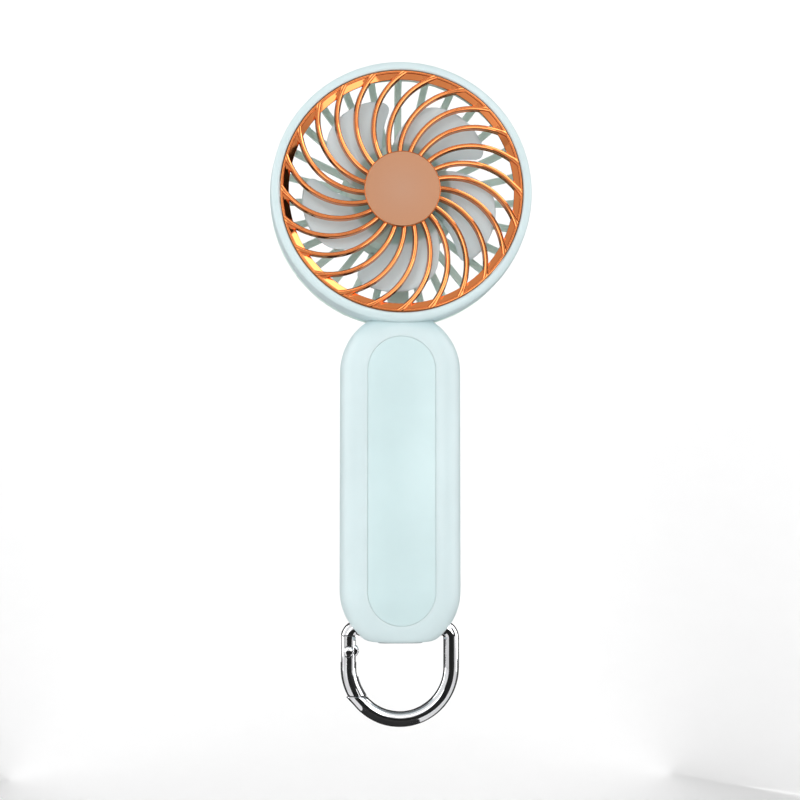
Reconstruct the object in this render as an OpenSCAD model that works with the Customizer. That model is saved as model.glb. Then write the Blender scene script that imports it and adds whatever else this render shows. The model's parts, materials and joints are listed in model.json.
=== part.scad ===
// Handheld fan: round head with a swirl grille, capsule grip and a swinging carabiner.
// +Z is up along the grip, the fan blows towards -Y, and +X is right as seen from the front.
// The origin is the middle of the grip. "Forward" distances are counted towards -Y.

/* [Grip] */
// Width of the grip
grip_w = 39.8; // [39:0.1:41]
// Depth of the grip from front to back
grip_t = 23; // [22.6:0.1:23.4]
// Distance from the middle of the grip to the centre of each round end
grip_end = 36.2; // [36:0.1:36.6]
// Radius that rounds the front and back edges
grip_edge = 8.75; // [8.5:0.05:9]
// Wall thickness of the casings
wall = 1.8; // [1.6:0.1:2]
// Level of the flat foot of the grip
foot_z = -52.9; // [-53.2:0.1:-52.7]
// Width of the inlaid front panel
panel_w = 22.2; // [21.8:0.1:22.4]
// Radius of the power button
button_r = 5; // [4.5:0.1:5.2]
// Height of the power button on the back
button_z = 20; // [19.5:0.1:20.5]

/* [Head] */
// Height of the head's centre
head_z = 95.15; // [95:0.05:95.4]
// Outer radius of the head
head_r = 43.4; // [43.2:0.1:43.6]
// Forward distance of the head's front lip
lip_f = 13.2; // [13:0.1:13.4]
// Forward distance of the head's back face
back_f = -14; // [-14.2:0.1:-13.9]
// Radius of the rounded back edge
back_round = 8; // [7.5:0.1:8]
// Half width of the neck
neck_x = 11.3; // [10.5:0.1:11.6]

/* [Front grille] */
// Outer radius of the gilded ring
ring_r = 40; // [39.6:0.05:40.1]
// Forward distance of the ring's front edge
ring_f = 12.8; // [12.6:0.1:13]
// Number of curved ribs
ribs = 24; // [18:1:28]
// Radius of each rib's arc
rib_arc_r = 22.3; // [22:0.1:22.6]
// Distance from the fan's axis to the centre of each rib's arc
rib_arc_c = 24.35; // [24.2:0.05:24.6]
// Direction of the first rib's arc centre
rib_turn = -32.2; // [-34:0.1:-30]
// Width of a rib
rib_w = 1.3; // [1:0.05:1.6]
// Radius of the centre cap
cap_r = 12.5; // [12.2:0.1:13]
// Forward distance of the cap's face
cap_f = 16.6; // [16.4:0.1:17]

/* [Rear grille] */
// Number of spoke places around the back, one of which is the wiring channel
spokes = 28; // [24:1:30]
// Width of a spoke
spoke_w = 2.4; // [2:0.1:2.6]
// Width of the wiring channel
channel_w = 7; // [6.6:0.1:7.4]
// Radius of the disc that the spokes meet
hub_ring_r = 20.1; // [19.8:0.1:20.6]
// Radius of the motor pot
pot_r = 17.5; // [17.3:0.1:17.6]
// Forward distance of the pot's front face
pot_f = 1.4; // [1.3:0.1:1.4]

/* [Propeller] */
// Number of blades
blades = 5; // [3:1:5]
// Radius of the blade tips
tip_r = 32.9; // [30:0.1:34]
// Radius of the propeller's hub
hub_r = 10.5; // [10:0.1:11]
// Forward distance of the middle of the blades
blade_f = 5.1; // [5:0.1:5.3]
// Tilt of the blades
blade_tilt = 13; // [8:0.5:13]
// Direction of the first blade's root
blade_turn = 60; // [0:1:71]

/* [Motor] */
// Radius of the motor can
motor_r = 12.2; // [12:0.1:12.3]
// Radius of the motor shaft
shaft_r = 1; // [1:0.1:1.2]

/* [Carabiner] */
// Radius of the carabiner's wire
wire_r = 2.58; // [2.4:0.01:2.6]
// Distance from the middle to each straight leg
leg_x = 17; // [16.9:0.05:17.1]
// Level of the bar that passes through the grip
bar_z = -48.55; // [-48.6:0.05:-48.5]
// Level of the centre of the lower arc
bow_z = -61.55; // [-62:0.05:-61]
// Level of the gate's lower end
gate_low_z = -70.8; // [-71.5:0.1:-69.5]

/* [Hidden] */

$fn = 96;
mint = [0.80, 0.92, 0.90];
gilt = [0.86, 0.52, 0.30];
steel = [0.75, 0.76, 0.78];
big = 200;

// Fits and gaps
slip = 0.05;
gap = 0.15;
seam = 0.3;

// Casing levels
grip_r = grip_w / 2;
half_t = grip_t / 2;
floor_z = foot_z + wall;
skin = 2.2;
bore_r = head_r - skin;
lip_bore_r = ring_r + gap;
ledge_f = 9.5;
rear_ring_f = -5;
lip_round = 2.6;
lip_inner_round = lip_round - 1.65;
barrel_r = 70;
barrel_f = 3;
panel_deep = 1;
panel_proud = 0.1;
tunnel_r = wire_r + 0.37;
mouth_r = 4.4;
mouth_x = 13.3;
neck_y = 8.4;
foot_recess_z = foot_z + 0.7;
foot_x = 7.35;
foot_front = -5;
foot_back = 8.1;

// Screws
screw_r = 1;
screw_head_r = 1.9;
post_r = 2.5;
post_x = 12.5;
post_zs = [24, -38.8];
screw_seat_f = -9.2;

// Circuit board, in distances behind the middle plane
board_y = 5.6;
board_t = 1;
board_x = 9;
board_low = -45.8;
board_high = 28;
stand_x = 6.5;
stand_zs = [25, -30];
usb_y = 6.1;
usb_w = 8.94;
usb_h = 3.26;
usb_high = board_low - slip;
usb_low = -53.2;
usb_play = 0.3;
led_z = 8.5;
led_step = 2.4;
function led_x(i) = (i - 1.5) * led_step;

// Front grille
band_r = 37.1;
ring_in = ring_r - 1.5;
ring_back_f = 6.9;
dome_f = 15;
rib_deep = 2.6;

// Motor and rotor
motor_front = pot_f - 1.5;
motor_back = -12.2;
bush_r = 2.5;
motor_screw_x = 7;

// Carabiner
bend_r = 3.2;
pivot_x = -leg_x;
pivot_z = -56.25;
pin_r = 1.2;
slot_y = 1;
tongue_y = 0.8;
tongue_r = 2.1;
boss_x = -15.5;
gate_top_z = -51.1;
stub_z = gate_top_z + 0.4;

// Wire routes, as points of one lead of each pair
wire_lead_r = 0.6;
motor_route = [[1.2, 9.9, 82.6], [1.2, 10.8, 80], [1.2, 10.8, 58.5], [1.2, 3, 55.6],
               [1.2, 3, 46], [1.2, 5, 30], [1.2, 5, 25.5]];
battery_route = [[4, -3, 16], [4, -3, 19], [4, 4.9, 22], [4, 5, 26.5]];

// ---- Shared shapes ----

// Extrudes a front-view outline between two forward distances
module forward(from, to) {
    translate([0, -from, 0]) rotate([90, 0, 0]) linear_extrude(to - from) children();
}

// Turns a half section about the Y axis: radius to the right, forward distance up
module spun() {
    rotate([90, 0, 0]) rotate_extrude() children();
}

module at_head() {
    translate([0, 0, head_z]) children();
}

// A round bar along Y between two forward distances
module rod(r, from, to) {
    translate([0, -from, 0]) rotate([90, 0, 0]) cylinder(r = r, h = to - from);
}

// A round tube along Y between two forward distances
module tube(outer, inner, from, to) {
    difference() {
        rod(outer, from, to);
        rod(inner, from - 1, to + 1);
    }
}

// Half section of the grip: full width w, full depth t, edges rounded by e
module grip_section(w, t, e) {
    square_x = w / 2 - e;
    square_y = t / 2 - e;
    translate([0, -t / 2]) square([square_x, t]);
    translate([0, -square_y]) square([w / 2, 2 * square_y]);
    for (side = [-1, 1]) translate([square_x, side * square_y]) circle(e);
}

// The capsule form of the grip, with round ends and round edges
module grip_form(w, t, e) {
    translate([0, 0, -grip_end]) linear_extrude(2 * grip_end) {
        intersection() {
            grip_section(w, t, e);
            translate([0, -t]) square([w, 2 * t]);
        }
        mirror([1, 0]) intersection() {
            grip_section(w, t, e);
            translate([0, -t]) square([w, 2 * t]);
        }
    }
    for (z = [-grip_end, grip_end]) translate([0, 0, z]) spun() intersection() {
        grip_section(w, t, e);
        translate([0, -t]) square([w, 2 * t]);
    }
}

// A stadium outline as seen from the front
module stadium(w) {
    square([w, 2 * grip_end], center = true);
    for (z = [-grip_end, grip_end]) translate([0, z]) circle(w / 2);
}

// Half section of the head's outer form in front of the back edge
module head_section() {
    crest_r = head_r - lip_round;
    intersection() {
        union() {
            translate([0, back_f + back_round]) square([head_r, lip_f - lip_round - back_f - back_round]);
            translate([crest_r, lip_f - lip_round]) circle(lip_round);
            translate([0, 0]) square([crest_r, lip_f - lip_inner_round]);
            translate([crest_r, lip_f - lip_inner_round]) circle(lip_inner_round);
        }
        translate([head_r - barrel_r, barrel_f]) circle(barrel_r, $fn = 360);
        translate([0, back_f]) square([head_r, lip_f - back_f]);
    }
}

// Half section of the bowl behind the head, shrunk by t
module bowl_section(t) {
    mid_r = head_r - back_round;
    round_r = back_round - t;
    intersection() {
        union() {
            translate([0, back_f + back_round]) square([head_r - t, back_round]);
            translate([0, back_f + t]) square([mid_r, back_round]);
            translate([mid_r, back_f + back_round]) circle(round_r);
        }
        translate([0, back_f]) square([head_r, rear_ring_f - back_f]);
    }
}

// Everything behind (or in front of) the middle plane, to cut away
module half_space(side) {
    translate([-big, side > 0 ? 0 : -big, -big]) cube([2 * big, big, 2 * big]);
}

// A bar along X, for the tunnel that holds the carabiner
module cross_rod(r, from, to) {
    translate([from, 0, bar_z]) rotate([0, 90, 0]) cylinder(r = r, h = to - from);
}

// Outer body that both casings share: grip, neck and collars for the carabiner bar
module grip_body() {
    intersection() {
        union() {
            difference() {
                grip_form(grip_w, grip_t, grip_edge);
                grip_form(grip_w - 2 * wall, grip_t - 2 * wall, grip_edge - wall);
            }
            intersection() {
                grip_form(grip_w, grip_t, grip_edge);
                union() {
                    cross_rod(mouth_r - 0.3, -grip_r, grip_r);
                    for (x = [-grip_r, 12]) cross_rod(mouth_r + 1.2, x, x + grip_r - 12);
                    translate([-grip_r, -half_t, foot_z]) cube([grip_w, grip_t, wall]);
                }
            }
        }
        translate([-big, -big, foot_z]) cube([2 * big, 2 * big, 2 * big]);
    }
}

// What both casings lose: the carabiner tunnel, its mouths and the recess of the foot insert
module grip_cuts() {
    cross_rod(tunnel_r, -big, big);
    cross_rod(mouth_r, mouth_x, big);
    cross_rod(mouth_r, -big, -mouth_x);
    foot_shape(foot_z - 1, foot_recess_z, gap);
}

// Rounded pad outline under the grip, grown by g
module foot_shape(low, high, g) {
    corner = 2;
    translate([0, 0, low]) linear_extrude(high - low) {
        for (x = [-1, 1]) for (y = [foot_front + corner, foot_back - corner])
            translate([x * (foot_x - corner), y]) circle(corner + g);
        translate([-foot_x - g, foot_front + corner])
            square([2 * (foot_x + g), foot_back - foot_front - 2 * corner]);
        translate([-foot_x + corner, foot_front - g])
            square([2 * (foot_x - corner), foot_back - foot_front + 2 * g]);
    }
}

// Rounded slot for the charging socket, grown by g
module usb_slot(w, h, low, high) {
    translate([0, usb_y, low]) linear_extrude(high - low) {
        square([w - h, h], center = true);
        for (x = [-1, 1]) translate([x * (w - h) / 2, 0]) circle(h / 2);
    }
}

// Passage for the charging plug
module usb_opening() {
    usb_slot(usb_w + usb_play, usb_h + usb_play, foot_z - 5, board_low);
}

module neck() {
    translate([-neck_x, -neck_y, grip_end + 12]) cube([2 * neck_x, 2 * neck_y, 9]);
}

// Room inside the neck and the top of the grip
module neck_passage() {
    translate([-8, -6, grip_end + 8]) cube([16, 12, 7.2]);
}

// A pair or column of things at the casing screws
module at_posts() {
    for (x = [-post_x, post_x]) for (z = post_zs) translate([x, 0, z]) children();
}

// ---- Casings ----

module front_housing() color(mint) difference() {
    union() {
        difference() {
            union() {
                grip_body();
                neck();
            }
            at_head() rod(head_r - 0.05, 6, 20);
        }
        at_head() spun() head_section();
        intersection() {
            at_posts() rod(post_r, 0, half_t - 1);
            grip_form(grip_w - wall, grip_t - wall, grip_edge - wall / 2);
        }
    }
    half_space(1);
    at_head() rod(bore_r, -1, ledge_f);
    at_head() rod(lip_bore_r, 0, 20);
    grip_cuts();
    forward(half_t - panel_deep, half_t + 1) stadium(panel_w + 2 * gap);
    at_posts() rod(screw_r, -1, 8);
    neck_passage();
}

module rear_housing() color(mint) difference() {
    union() {
        grip_body();
        neck();
        at_head() rod(head_r, rear_ring_f, 0);
        at_posts() rod(post_r + 0.1, -half_t + 1, 0);
        for (x = [-stand_x, stand_x]) for (z = stand_zs)
            translate([x, 0, z]) rod(1.8, -half_t + 1, -board_y - board_t);
    }
    half_space(-1);
    at_head() rod(bore_r, rear_ring_f - 10, 1);
    difference() {
        at_head() rod(head_r + 3, -20, rear_ring_f);
        translate([-neck_x, 0, -big]) cube([2 * neck_x, big, big + grip_end + 15]);
    }
    grip_cuts();
    usb_opening();
    at_posts() rod(screw_r + 0.15, -big, 1);
    at_posts() rod(screw_head_r + 0.15, -big, screw_seat_f);
    for (x = [-stand_x, stand_x]) for (z = stand_zs) translate([x, 0, z]) rod(0.8, -9.4, 0);
    translate([0, 0, button_z]) rod(button_r + 0.1, -big, 0);
    for (i = [0:3]) translate([led_x(i), 0, led_z]) rod(0.82, -big, 0);
    neck_passage();
    translate([-3, 1.2, grip_end + 10]) cube([6, 3.6, 10]);
}

module front_panel() color([0.85, 0.94, 0.95])
    forward(half_t - panel_deep, half_t + panel_proud) stadium(panel_w);

module foot_insert() color([0.62, 0.66, 0.68]) difference() {
    foot_shape(foot_z - 0.45, foot_recess_z, 0);
    usb_opening();
}

// ---- Front grille ----

// One rib: the part of a ring that lies on one side of the line through its centre
module rib_outline() {
    intersection() {
        translate([rib_arc_c, 0]) difference() {
            circle(rib_arc_r + rib_w / 2, $fn = 180);
            circle(rib_arc_r - rib_w / 2, $fn = 180);
        }
        square([60, 60]);
    }
}

module front_grille() color(gilt) at_head() {
    spun() polygon([[ring_in, ring_back_f], [ring_r, ring_back_f], [ring_r, ring_f], [ring_r - 0.9, ring_f],
                    [band_r, ring_f - 1], [band_r, ring_f - 2], [ring_in, ring_f - 2.6]]);
    for (i = [0:2]) rotate([0, 60 + 120 * i, 0]) intersection() {
        tube(ring_r + 0.8, ring_r - 0.5, ring_back_f + 1, ledge_f - 0.2);
        translate([-4, -20, 30]) cube([8, 40, 20]);
    }
    intersection() {
        forward(8, 20) for (i = [0:ribs - 1]) rotate(rib_turn + 360 / ribs * i) rib_outline();
        spun() polygon([[cap_r - 1, dome_f], [ring_r - 0.4, ring_f - 0.05], [ring_r - 0.4, ring_f - 2.2],
                        [cap_r - 1, dome_f - rib_deep]]);
    }
    tube(cap_r - 0.3, 3.05, dome_f - rib_deep, dome_f);
}

module grille_cap() color([0.80, 0.60, 0.47]) at_head() {
    rod(cap_r, dome_f, cap_f - 0.4);
    translate([0, -cap_f + 0.4, 0]) rotate([90, 0, 0]) cylinder(r1 = cap_r, r2 = cap_r - 0.4, h = 0.4);
    rod(3, dome_f - rib_deep - 0.4, dome_f);
}

// ---- Rear grille ----

module spoke_outline() {
    for (i = [1:spokes - 1]) rotate(-90 + 360 / spokes * i)
        translate([hub_ring_r - 0.8, -spoke_w / 2]) square([head_r, spoke_w]);
    rotate(-90) translate([hub_ring_r - 0.8, -channel_w / 2]) square([head_r, channel_w]);
}

module rear_grille() color(mint) at_head() difference() {
    union() {
        intersection() {
            forward(back_f - 1, rear_ring_f - 0.9) spoke_outline();
            spun() difference() {
                bowl_section(0);
                bowl_section(2);
            }
        }
        tube(head_r, bore_r - 0.6, rear_ring_f - 1, rear_ring_f);
        tube(bore_r - 0.1, bore_r - 0.6, rear_ring_f - 1, rear_ring_f + 1);
        tube(hub_ring_r, pot_r, back_f, back_f + 2);
        rod(pot_r, back_f + 1.4, pot_f);
        intersection() {
            translate([-channel_w / 2, 8.6, -bore_r]) cube([channel_w, 5, bore_r - pot_r + 1]);
            spun() bowl_section(0);
        }
    }
    rod(pot_r, -20, back_f + 1.4);
    rod(pot_r - 1.6, -20, motor_front);
    rod(3.2, -20, 20);
    for (x = [-motor_screw_x, motor_screw_x]) translate([x, 0, 0]) {
        rod(screw_r, -1, 5);
        rod(1.8, pot_f - 0.8, 5);
    }
    channel_in = channel_w / 2 - 1;
    translate([-channel_in, 9.6, -bore_r + 0.2]) cube([2 * channel_in, 2.4, bore_r - pot_r + 3]);
    translate([-channel_in, 4, -bore_r + 0.2]) cube([2 * channel_in, 8, 5]);
}

module hub_cover() color(mint) at_head() {
    rod(pot_r - 0.1, back_f + 0.2, back_f + 1.4);
    tube(pot_r - 1.7, pot_r - 2.6, back_f + 1.4, back_f + 2.3);
}

// ---- Rotor ----

// Blade angle and half width at radius r, in degrees, and the blade's rounded tip
function blade_mid(r) = (tip_r - r) * 1.5;
function blade_half(r) = 25 + (tip_r - r) * 0.3;
function tip_ease(t) = pow(max(0, 1 - pow(t, 2.6)), 0.42);

module blade_outline() {
    steps = 7;
    root = hub_r - 1.5;
    body_r = tip_r - 6;
    rs = [for (i = [0:steps]) root + (body_r - root) * i / steps];
    ts = [for (i = [1:steps]) sin(90 * i / steps)];
    left = [for (r = rs) [r, blade_mid(r) + blade_half(r)]];
    left_tip = [for (t = ts) [body_r + 6 * t, blade_mid(body_r) - 6 * t + blade_half(body_r) * tip_ease(t)]];
    right_tip = [for (i = [len(ts) - 2:-1:0]) [body_r + 6 * ts[i],
                 blade_mid(body_r) - 6 * ts[i] - blade_half(body_r) * tip_ease(ts[i])]];
    right = [for (i = [steps:-1:0]) [rs[i], blade_mid(rs[i]) - blade_half(rs[i])]];
    polygon([for (p = concat(left, left_tip, right_tip, right)) p[0] * [cos(p[1]), sin(p[1])]]);
}

module blade() {
    intersection() {
        forward(blade_f - 3.1, blade_f + 3.1) blade_outline();
        rotate([0, -15, 0]) translate([0, -blade_f, 0]) rotate([blade_tilt, 0, 0])
            translate([0, -0.55, -30]) cube([40, 1.1, 60]);
    }
}

module propeller() color([0.73, 0.73, 0.74]) at_head() difference() {
    union() {
        for (i = [0:blades - 1]) rotate([0, -blade_turn + 15 - 360 / blades * i, 0]) blade();
        rod(hub_r, blade_f - 2.7, blade_f + 4);
        rod(hub_r - 1.2, blade_f + 3.9, blade_f + 4.3);
    }
    difference() {
        rod(hub_r - 1.6, 0, blade_f + 2.9);
        rod(2.8, 0, blade_f + 3);
    }
    rod(shaft_r, 0, blade_f + 3.1);
}

module motor_shaft() color(steel) at_head() rod(shaft_r, -11.6, blade_f + 3);

module rotor_core() color([0.72, 0.42, 0.22]) at_head() difference() {
    rod(8.6, -8, -2.5);
    rod(shaft_r, -20, 20);
    for (i = [0:2]) rotate([0, 120 * i, 0]) translate([0, 0, 7.6]) rotate([90, 0, 0])
        cylinder(r = 1.6, h = 30, center = true);
}

module commutator() color([0.80, 0.52, 0.30]) at_head() tube(2.6, shaft_r, -9.7, -8.1);

// ---- Motor ----

module motor_can() color(steel) at_head() {
    tube(motor_r, motor_r - 0.4, -10.6, motor_front);
    difference() {
        union() {
            rod(motor_r - 0.2, motor_front - 0.8, motor_front);
            rod(3.1, motor_front - 0.8, motor_front + 1.2);
        }
        rod(bush_r, -20, 20);
        for (x = [-motor_screw_x, motor_screw_x]) translate([x, 0, 0]) rod(screw_r, -5, 5);
    }
}

module motor_end_cap() color([0.16, 0.16, 0.17]) at_head() {
    tube(motor_r, bush_r, motor_back, -10.6);
    tube(motor_r - 0.45, motor_r - 1.4, -10.7, -9.4);
}

module motor_magnets() color([0.25, 0.25, 0.27]) at_head() intersection() {
    tube(motor_r - 0.45, 9.2, -9, -2);
    for (side = [-1, 1]) translate([side > 0 ? 3 : -23, -20, -20]) cube([20, 40, 40]);
}

module shaft_bushes() color([0.70, 0.55, 0.32]) at_head() {
    tube(bush_r, shaft_r + slip, motor_front - 1.5, motor_front + 1);
    tube(bush_r, shaft_r + slip, motor_back + 0.2, -10);
}

module motor_brushes() color([0.83, 0.60, 0.35]) at_head()
    for (side = [-1, 1]) translate([side * 5 - 2.2, 8.4, -0.8]) cube([4.4, 1, 1.6]);

module motor_screws() color(steel) at_head() for (x = [-motor_screw_x, motor_screw_x])
    translate([x, 0, 0]) {
        rod(screw_r, motor_front - 1.6, pot_f - 0.8);
        rod(1.7, pot_f - 0.8, pot_f - 0.1);
    }

// ---- Electrics ----

module battery_cell() color([0.78, 0.79, 0.82]) {
    translate([-15, -8.3, -34]) cube([30, 10, 49]);
    translate([-12, -6.8, 15]) cube([24, 5, 1]);
}

module battery_pad() color([0.20, 0.20, 0.21])
    translate([-8, -9.7, -28]) cube([16, 1.4, 38]);

module circuit_board() color([0.10, 0.36, 0.22]) difference() {
    translate([-board_x, board_y, board_low]) cube([2 * board_x, board_t, board_high - board_low]);
    for (x = [-stand_x, stand_x]) for (z = stand_zs) translate([x, 0, z]) rod(0.85, -8, -4);
}

module circuit_chips() color([0.12, 0.12, 0.13]) {
    translate([-3, board_y - 1.2, -22]) cube([6, 1.2, 6]);
    translate([-5.5, board_y - 2.4, -12]) cube([5, 2.4, 5]);
    translate([1.5, board_y - 1, -4]) cube([4, 1, 5]);
    translate([0, 0, -38]) rod(2.2, -board_y, -board_y + 2.2);
}

module usb_port_shell() color(steel) difference() {
    usb_slot(usb_w, usb_h, usb_low, usb_high);
    usb_slot(usb_w - 0.6, usb_h - 0.6, usb_low - 1, usb_high - 0.6);
}

module usb_port_tongue() color([0.10, 0.10, 0.11])
    translate([-3.3, usb_y - 0.35, usb_low + 0.9]) cube([6.6, 0.7, usb_high - usb_low - 1.5]);

module tact_switch() color([0.30, 0.30, 0.32]) difference() {
    translate([-3, board_y + board_t, button_z - 3]) cube([6, 1.6, 6]);
    translate([0, 0, button_z]) rod(1.75, -20, -7);
}

module switch_plunger() color([0.85, 0.85, 0.83]) translate([0, 0, button_z]) rod(1.65, -8.9, -7.45);

module power_button() color([0.93, 0.97, 0.96]) translate([0, 0, button_z]) {
    rod(button_r + 0.8, -9.5, -8.9);
    rod(button_r, -11.5, -9.5);
    translate([0, 11.5, 0]) rotate([-90, 0, 0]) cylinder(r1 = button_r, r2 = button_r - 0.4, h = 0.4);
}

module indicator_leds() color([0.95, 0.95, 0.85]) for (i = [0:3])
    translate([led_x(i) - 0.8, board_y + board_t, led_z - 0.5]) cube([1.6, 0.7, 1]);

module light_guide() color([0.92, 0.96, 0.97]) {
    for (i = [0:3]) translate([led_x(i), 0, led_z]) rod(0.8, -half_t, -9);
    translate([-4.8, 8.3, led_z - 1.1]) cube([9.6, 1.3, 2.2]);
}

// A round lead that follows its route, with a slightly fatter ball at each bend
module lead(route, r) {
    for (i = [0:len(route) - 2]) {
        a = route[i];
        step = route[i + 1] - a;
        long = norm(step);
        translate(a) rotate([0, acos(step[2] / long), atan2(step[1], step[0])])
            cylinder(r = r, h = long, $fn = 16);
        if (i > 0) translate(a) sphere(r + 0.08, $fn = 16);
    }
}

module lead_pair(route) {
    lead(route, wire_lead_r);
    lead([for (p = route) [-p[0], p[1], p[2]]], wire_lead_r);
}

module motor_leads() color([0.72, 0.12, 0.10]) lead_pair(motor_route);

module battery_leads() color([0.12, 0.12, 0.12]) lead_pair(battery_route);

// ---- Fasteners ----

module housing_screws() color(steel) at_posts() {
    rod(screw_r, screw_seat_f, 6);
    rod(screw_head_r, screw_seat_f - 1.3, screw_seat_f);
}

module board_screws() color(steel) for (x = [-stand_x, stand_x]) for (z = stand_zs)
    translate([x, 0, z]) {
        rod(0.8, -9, -board_y);
        rod(1.5, -board_y, -board_y + 0.9);
    }

// ---- Carabiner ----

// A quarter or part turn of wire about Y, with its centre at [x, z]
module wire_arc(x, z, r, start, turn) {
    translate([x, 0, z]) rotate([90, 0, 0]) rotate([0, 0, start])
        rotate_extrude(angle = turn) translate([r, 0]) circle(wire_r, $fn = 48);
}

module wire_leg(x, low, high) {
    translate([x, 0, low]) cylinder(r = wire_r, h = high - low, $fn = 48);
}

module carabiner_frame() color(steel) {
    bend_z = bar_z - bend_r;
    bend_x = leg_x - bend_r;
    translate([-bend_x, 0, bar_z]) rotate([0, 90, 0]) cylinder(r = wire_r, h = 2 * bend_x, $fn = 48);
    wire_arc(bend_x, bend_z, bend_r, 0, 90);
    wire_leg(leg_x, bow_z, bend_z);
    difference() {
        wire_arc(-bend_x, bend_z, bend_r, 90, 90);
        translate([-30, -10, stub_z - 10]) cube([20, 20, 10]);
    }
    difference() {
        wire_arc(0, bow_z, leg_x, 180, 180);
        translate([-30, -10, gate_low_z - seam]) cube([30, 20, 20]);
    }
    difference() {
        union() {
            translate([pivot_x - tongue_r, -tongue_y, pivot_z])
                cube([2 * tongue_r, 2 * tongue_y, stub_z - pivot_z + 1]);
            translate([pivot_x, 0, pivot_z]) rod(tongue_r, -tongue_y, tongue_y);
        }
        translate([pivot_x, 0, pivot_z]) rod(pin_r, -5, 5);
    }
}

module carabiner_gate() color(steel) difference() {
    union() {
        intersection() {
            wire_leg(-leg_x, bow_z, gate_top_z);
            union() {
                translate([pivot_x - 10, -5, pivot_z - 20]) cube([10, 10, 40]);
                translate([pivot_x, 0, pivot_z]) rod(gate_top_z - pivot_z + 0.15, -5, 5);
                translate([pivot_x - 10, -5, pivot_z - 20]) cube([20, 10, 18]);
            }
        }
        difference() {
            wire_arc(0, bow_z, leg_x, 180, 60);
            translate([-30, -10, gate_low_z - 30]) cube([60, 20, 30]);
        }
        translate([boss_x, 0, pivot_z + 0.4]) rod(2.1, -1.9, 1.9);
    }
    translate([-30, -slot_y, pivot_z - 3.4]) cube([20, 2 * slot_y, 20]);
    translate([pivot_x, 0, pivot_z]) rod(pin_r + slip, -5, 5);
    translate([-leg_x, 0, bow_z - 2]) cylinder(r = 1.1, h = 12);
}

module gate_pin() color(steel) translate([pivot_x, 0, pivot_z]) {
    rod(pin_r, -2.9, 2.9);
    for (side = [-1, 1]) rotate([side * 90, 0, 0]) translate([0, 0, 2.65])
        cylinder(r1 = 1.7, r2 = 1.1, h = 0.4);
}

module gate_spring() color(steel) translate([-leg_x, 0, bow_z - 1.9]) difference() {
    cylinder(r = 1.05, h = 3.8);
    translate([0, 0, -1]) cylinder(r = 0.65, h = 8);
}

front_housing();
rear_housing();
front_panel();
foot_insert();
front_grille();
grille_cap();
rear_grille();
hub_cover();
propeller();
motor_shaft();
rotor_core();
commutator();
motor_can();
motor_end_cap();
motor_magnets();
shaft_bushes();
motor_brushes();
motor_screws();
battery_cell();
battery_pad();
circuit_board();
circuit_chips();
usb_port_shell();
usb_port_tongue();
tact_switch();
switch_plunger();
power_button();
indicator_leds();
light_guide();
motor_leads();
battery_leads();
housing_screws();
board_screws();
carabiner_frame();
carabiner_gate();
gate_pin();
gate_spring();
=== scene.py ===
"""Looks of the handheld fan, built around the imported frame. Lengths are in metres.

Forward distances are counted from the grip's middle plane towards -Y, the way the fan faces.
"""
import json
from math import acos, atan2, cos, pi, radians, sin, sqrt, tan

import bmesh
import bpy
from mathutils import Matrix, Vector


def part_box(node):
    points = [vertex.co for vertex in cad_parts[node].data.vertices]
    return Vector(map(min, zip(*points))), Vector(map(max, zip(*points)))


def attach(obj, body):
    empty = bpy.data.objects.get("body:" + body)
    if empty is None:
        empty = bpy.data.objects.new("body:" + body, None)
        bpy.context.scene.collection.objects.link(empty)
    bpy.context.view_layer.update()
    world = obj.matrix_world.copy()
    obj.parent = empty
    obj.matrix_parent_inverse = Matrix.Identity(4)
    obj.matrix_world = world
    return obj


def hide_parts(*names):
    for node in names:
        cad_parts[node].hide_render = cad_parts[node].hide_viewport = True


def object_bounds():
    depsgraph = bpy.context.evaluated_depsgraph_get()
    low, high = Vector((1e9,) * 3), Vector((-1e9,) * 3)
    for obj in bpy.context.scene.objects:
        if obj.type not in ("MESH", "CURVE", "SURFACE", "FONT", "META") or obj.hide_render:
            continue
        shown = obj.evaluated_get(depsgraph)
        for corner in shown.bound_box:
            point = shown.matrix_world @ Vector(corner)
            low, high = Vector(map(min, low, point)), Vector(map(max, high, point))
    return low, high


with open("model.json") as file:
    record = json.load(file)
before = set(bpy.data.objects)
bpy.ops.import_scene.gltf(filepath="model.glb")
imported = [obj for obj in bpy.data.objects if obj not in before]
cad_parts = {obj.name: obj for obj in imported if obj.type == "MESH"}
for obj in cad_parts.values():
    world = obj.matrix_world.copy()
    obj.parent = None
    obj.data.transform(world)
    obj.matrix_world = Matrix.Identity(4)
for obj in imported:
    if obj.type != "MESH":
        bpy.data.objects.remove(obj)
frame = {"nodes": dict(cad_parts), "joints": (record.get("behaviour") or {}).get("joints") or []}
CAD_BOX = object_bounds()
MM = 0.001
TURN = 2 * pi
FINE = 160  # steps around a large turned part
SMOOTH = 256  # steps around the head's rings

# ---- Places that come from the frame ----
JOINTS = {j["name"]: j for j in frame["joints"]}
HEAD_Z = JOINTS["rotor_spin"]["pos_m"][2]
BAR_Z = JOINTS["carabiner_swing"]["pos_m"][2]
PIVOT_X, PIVOT_Z = JOINTS["gate_open"]["pos_m"][0], JOINTS["gate_open"]["pos_m"][2]


def span(node, axis):
    """Lowest and highest value of a CAD node along one axis."""
    low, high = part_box(node)
    return low[axis], high[axis]


def middle(node, axis):
    """The middle of a CAD node along one axis."""
    return sum(span(node, axis)) / 2


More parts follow.
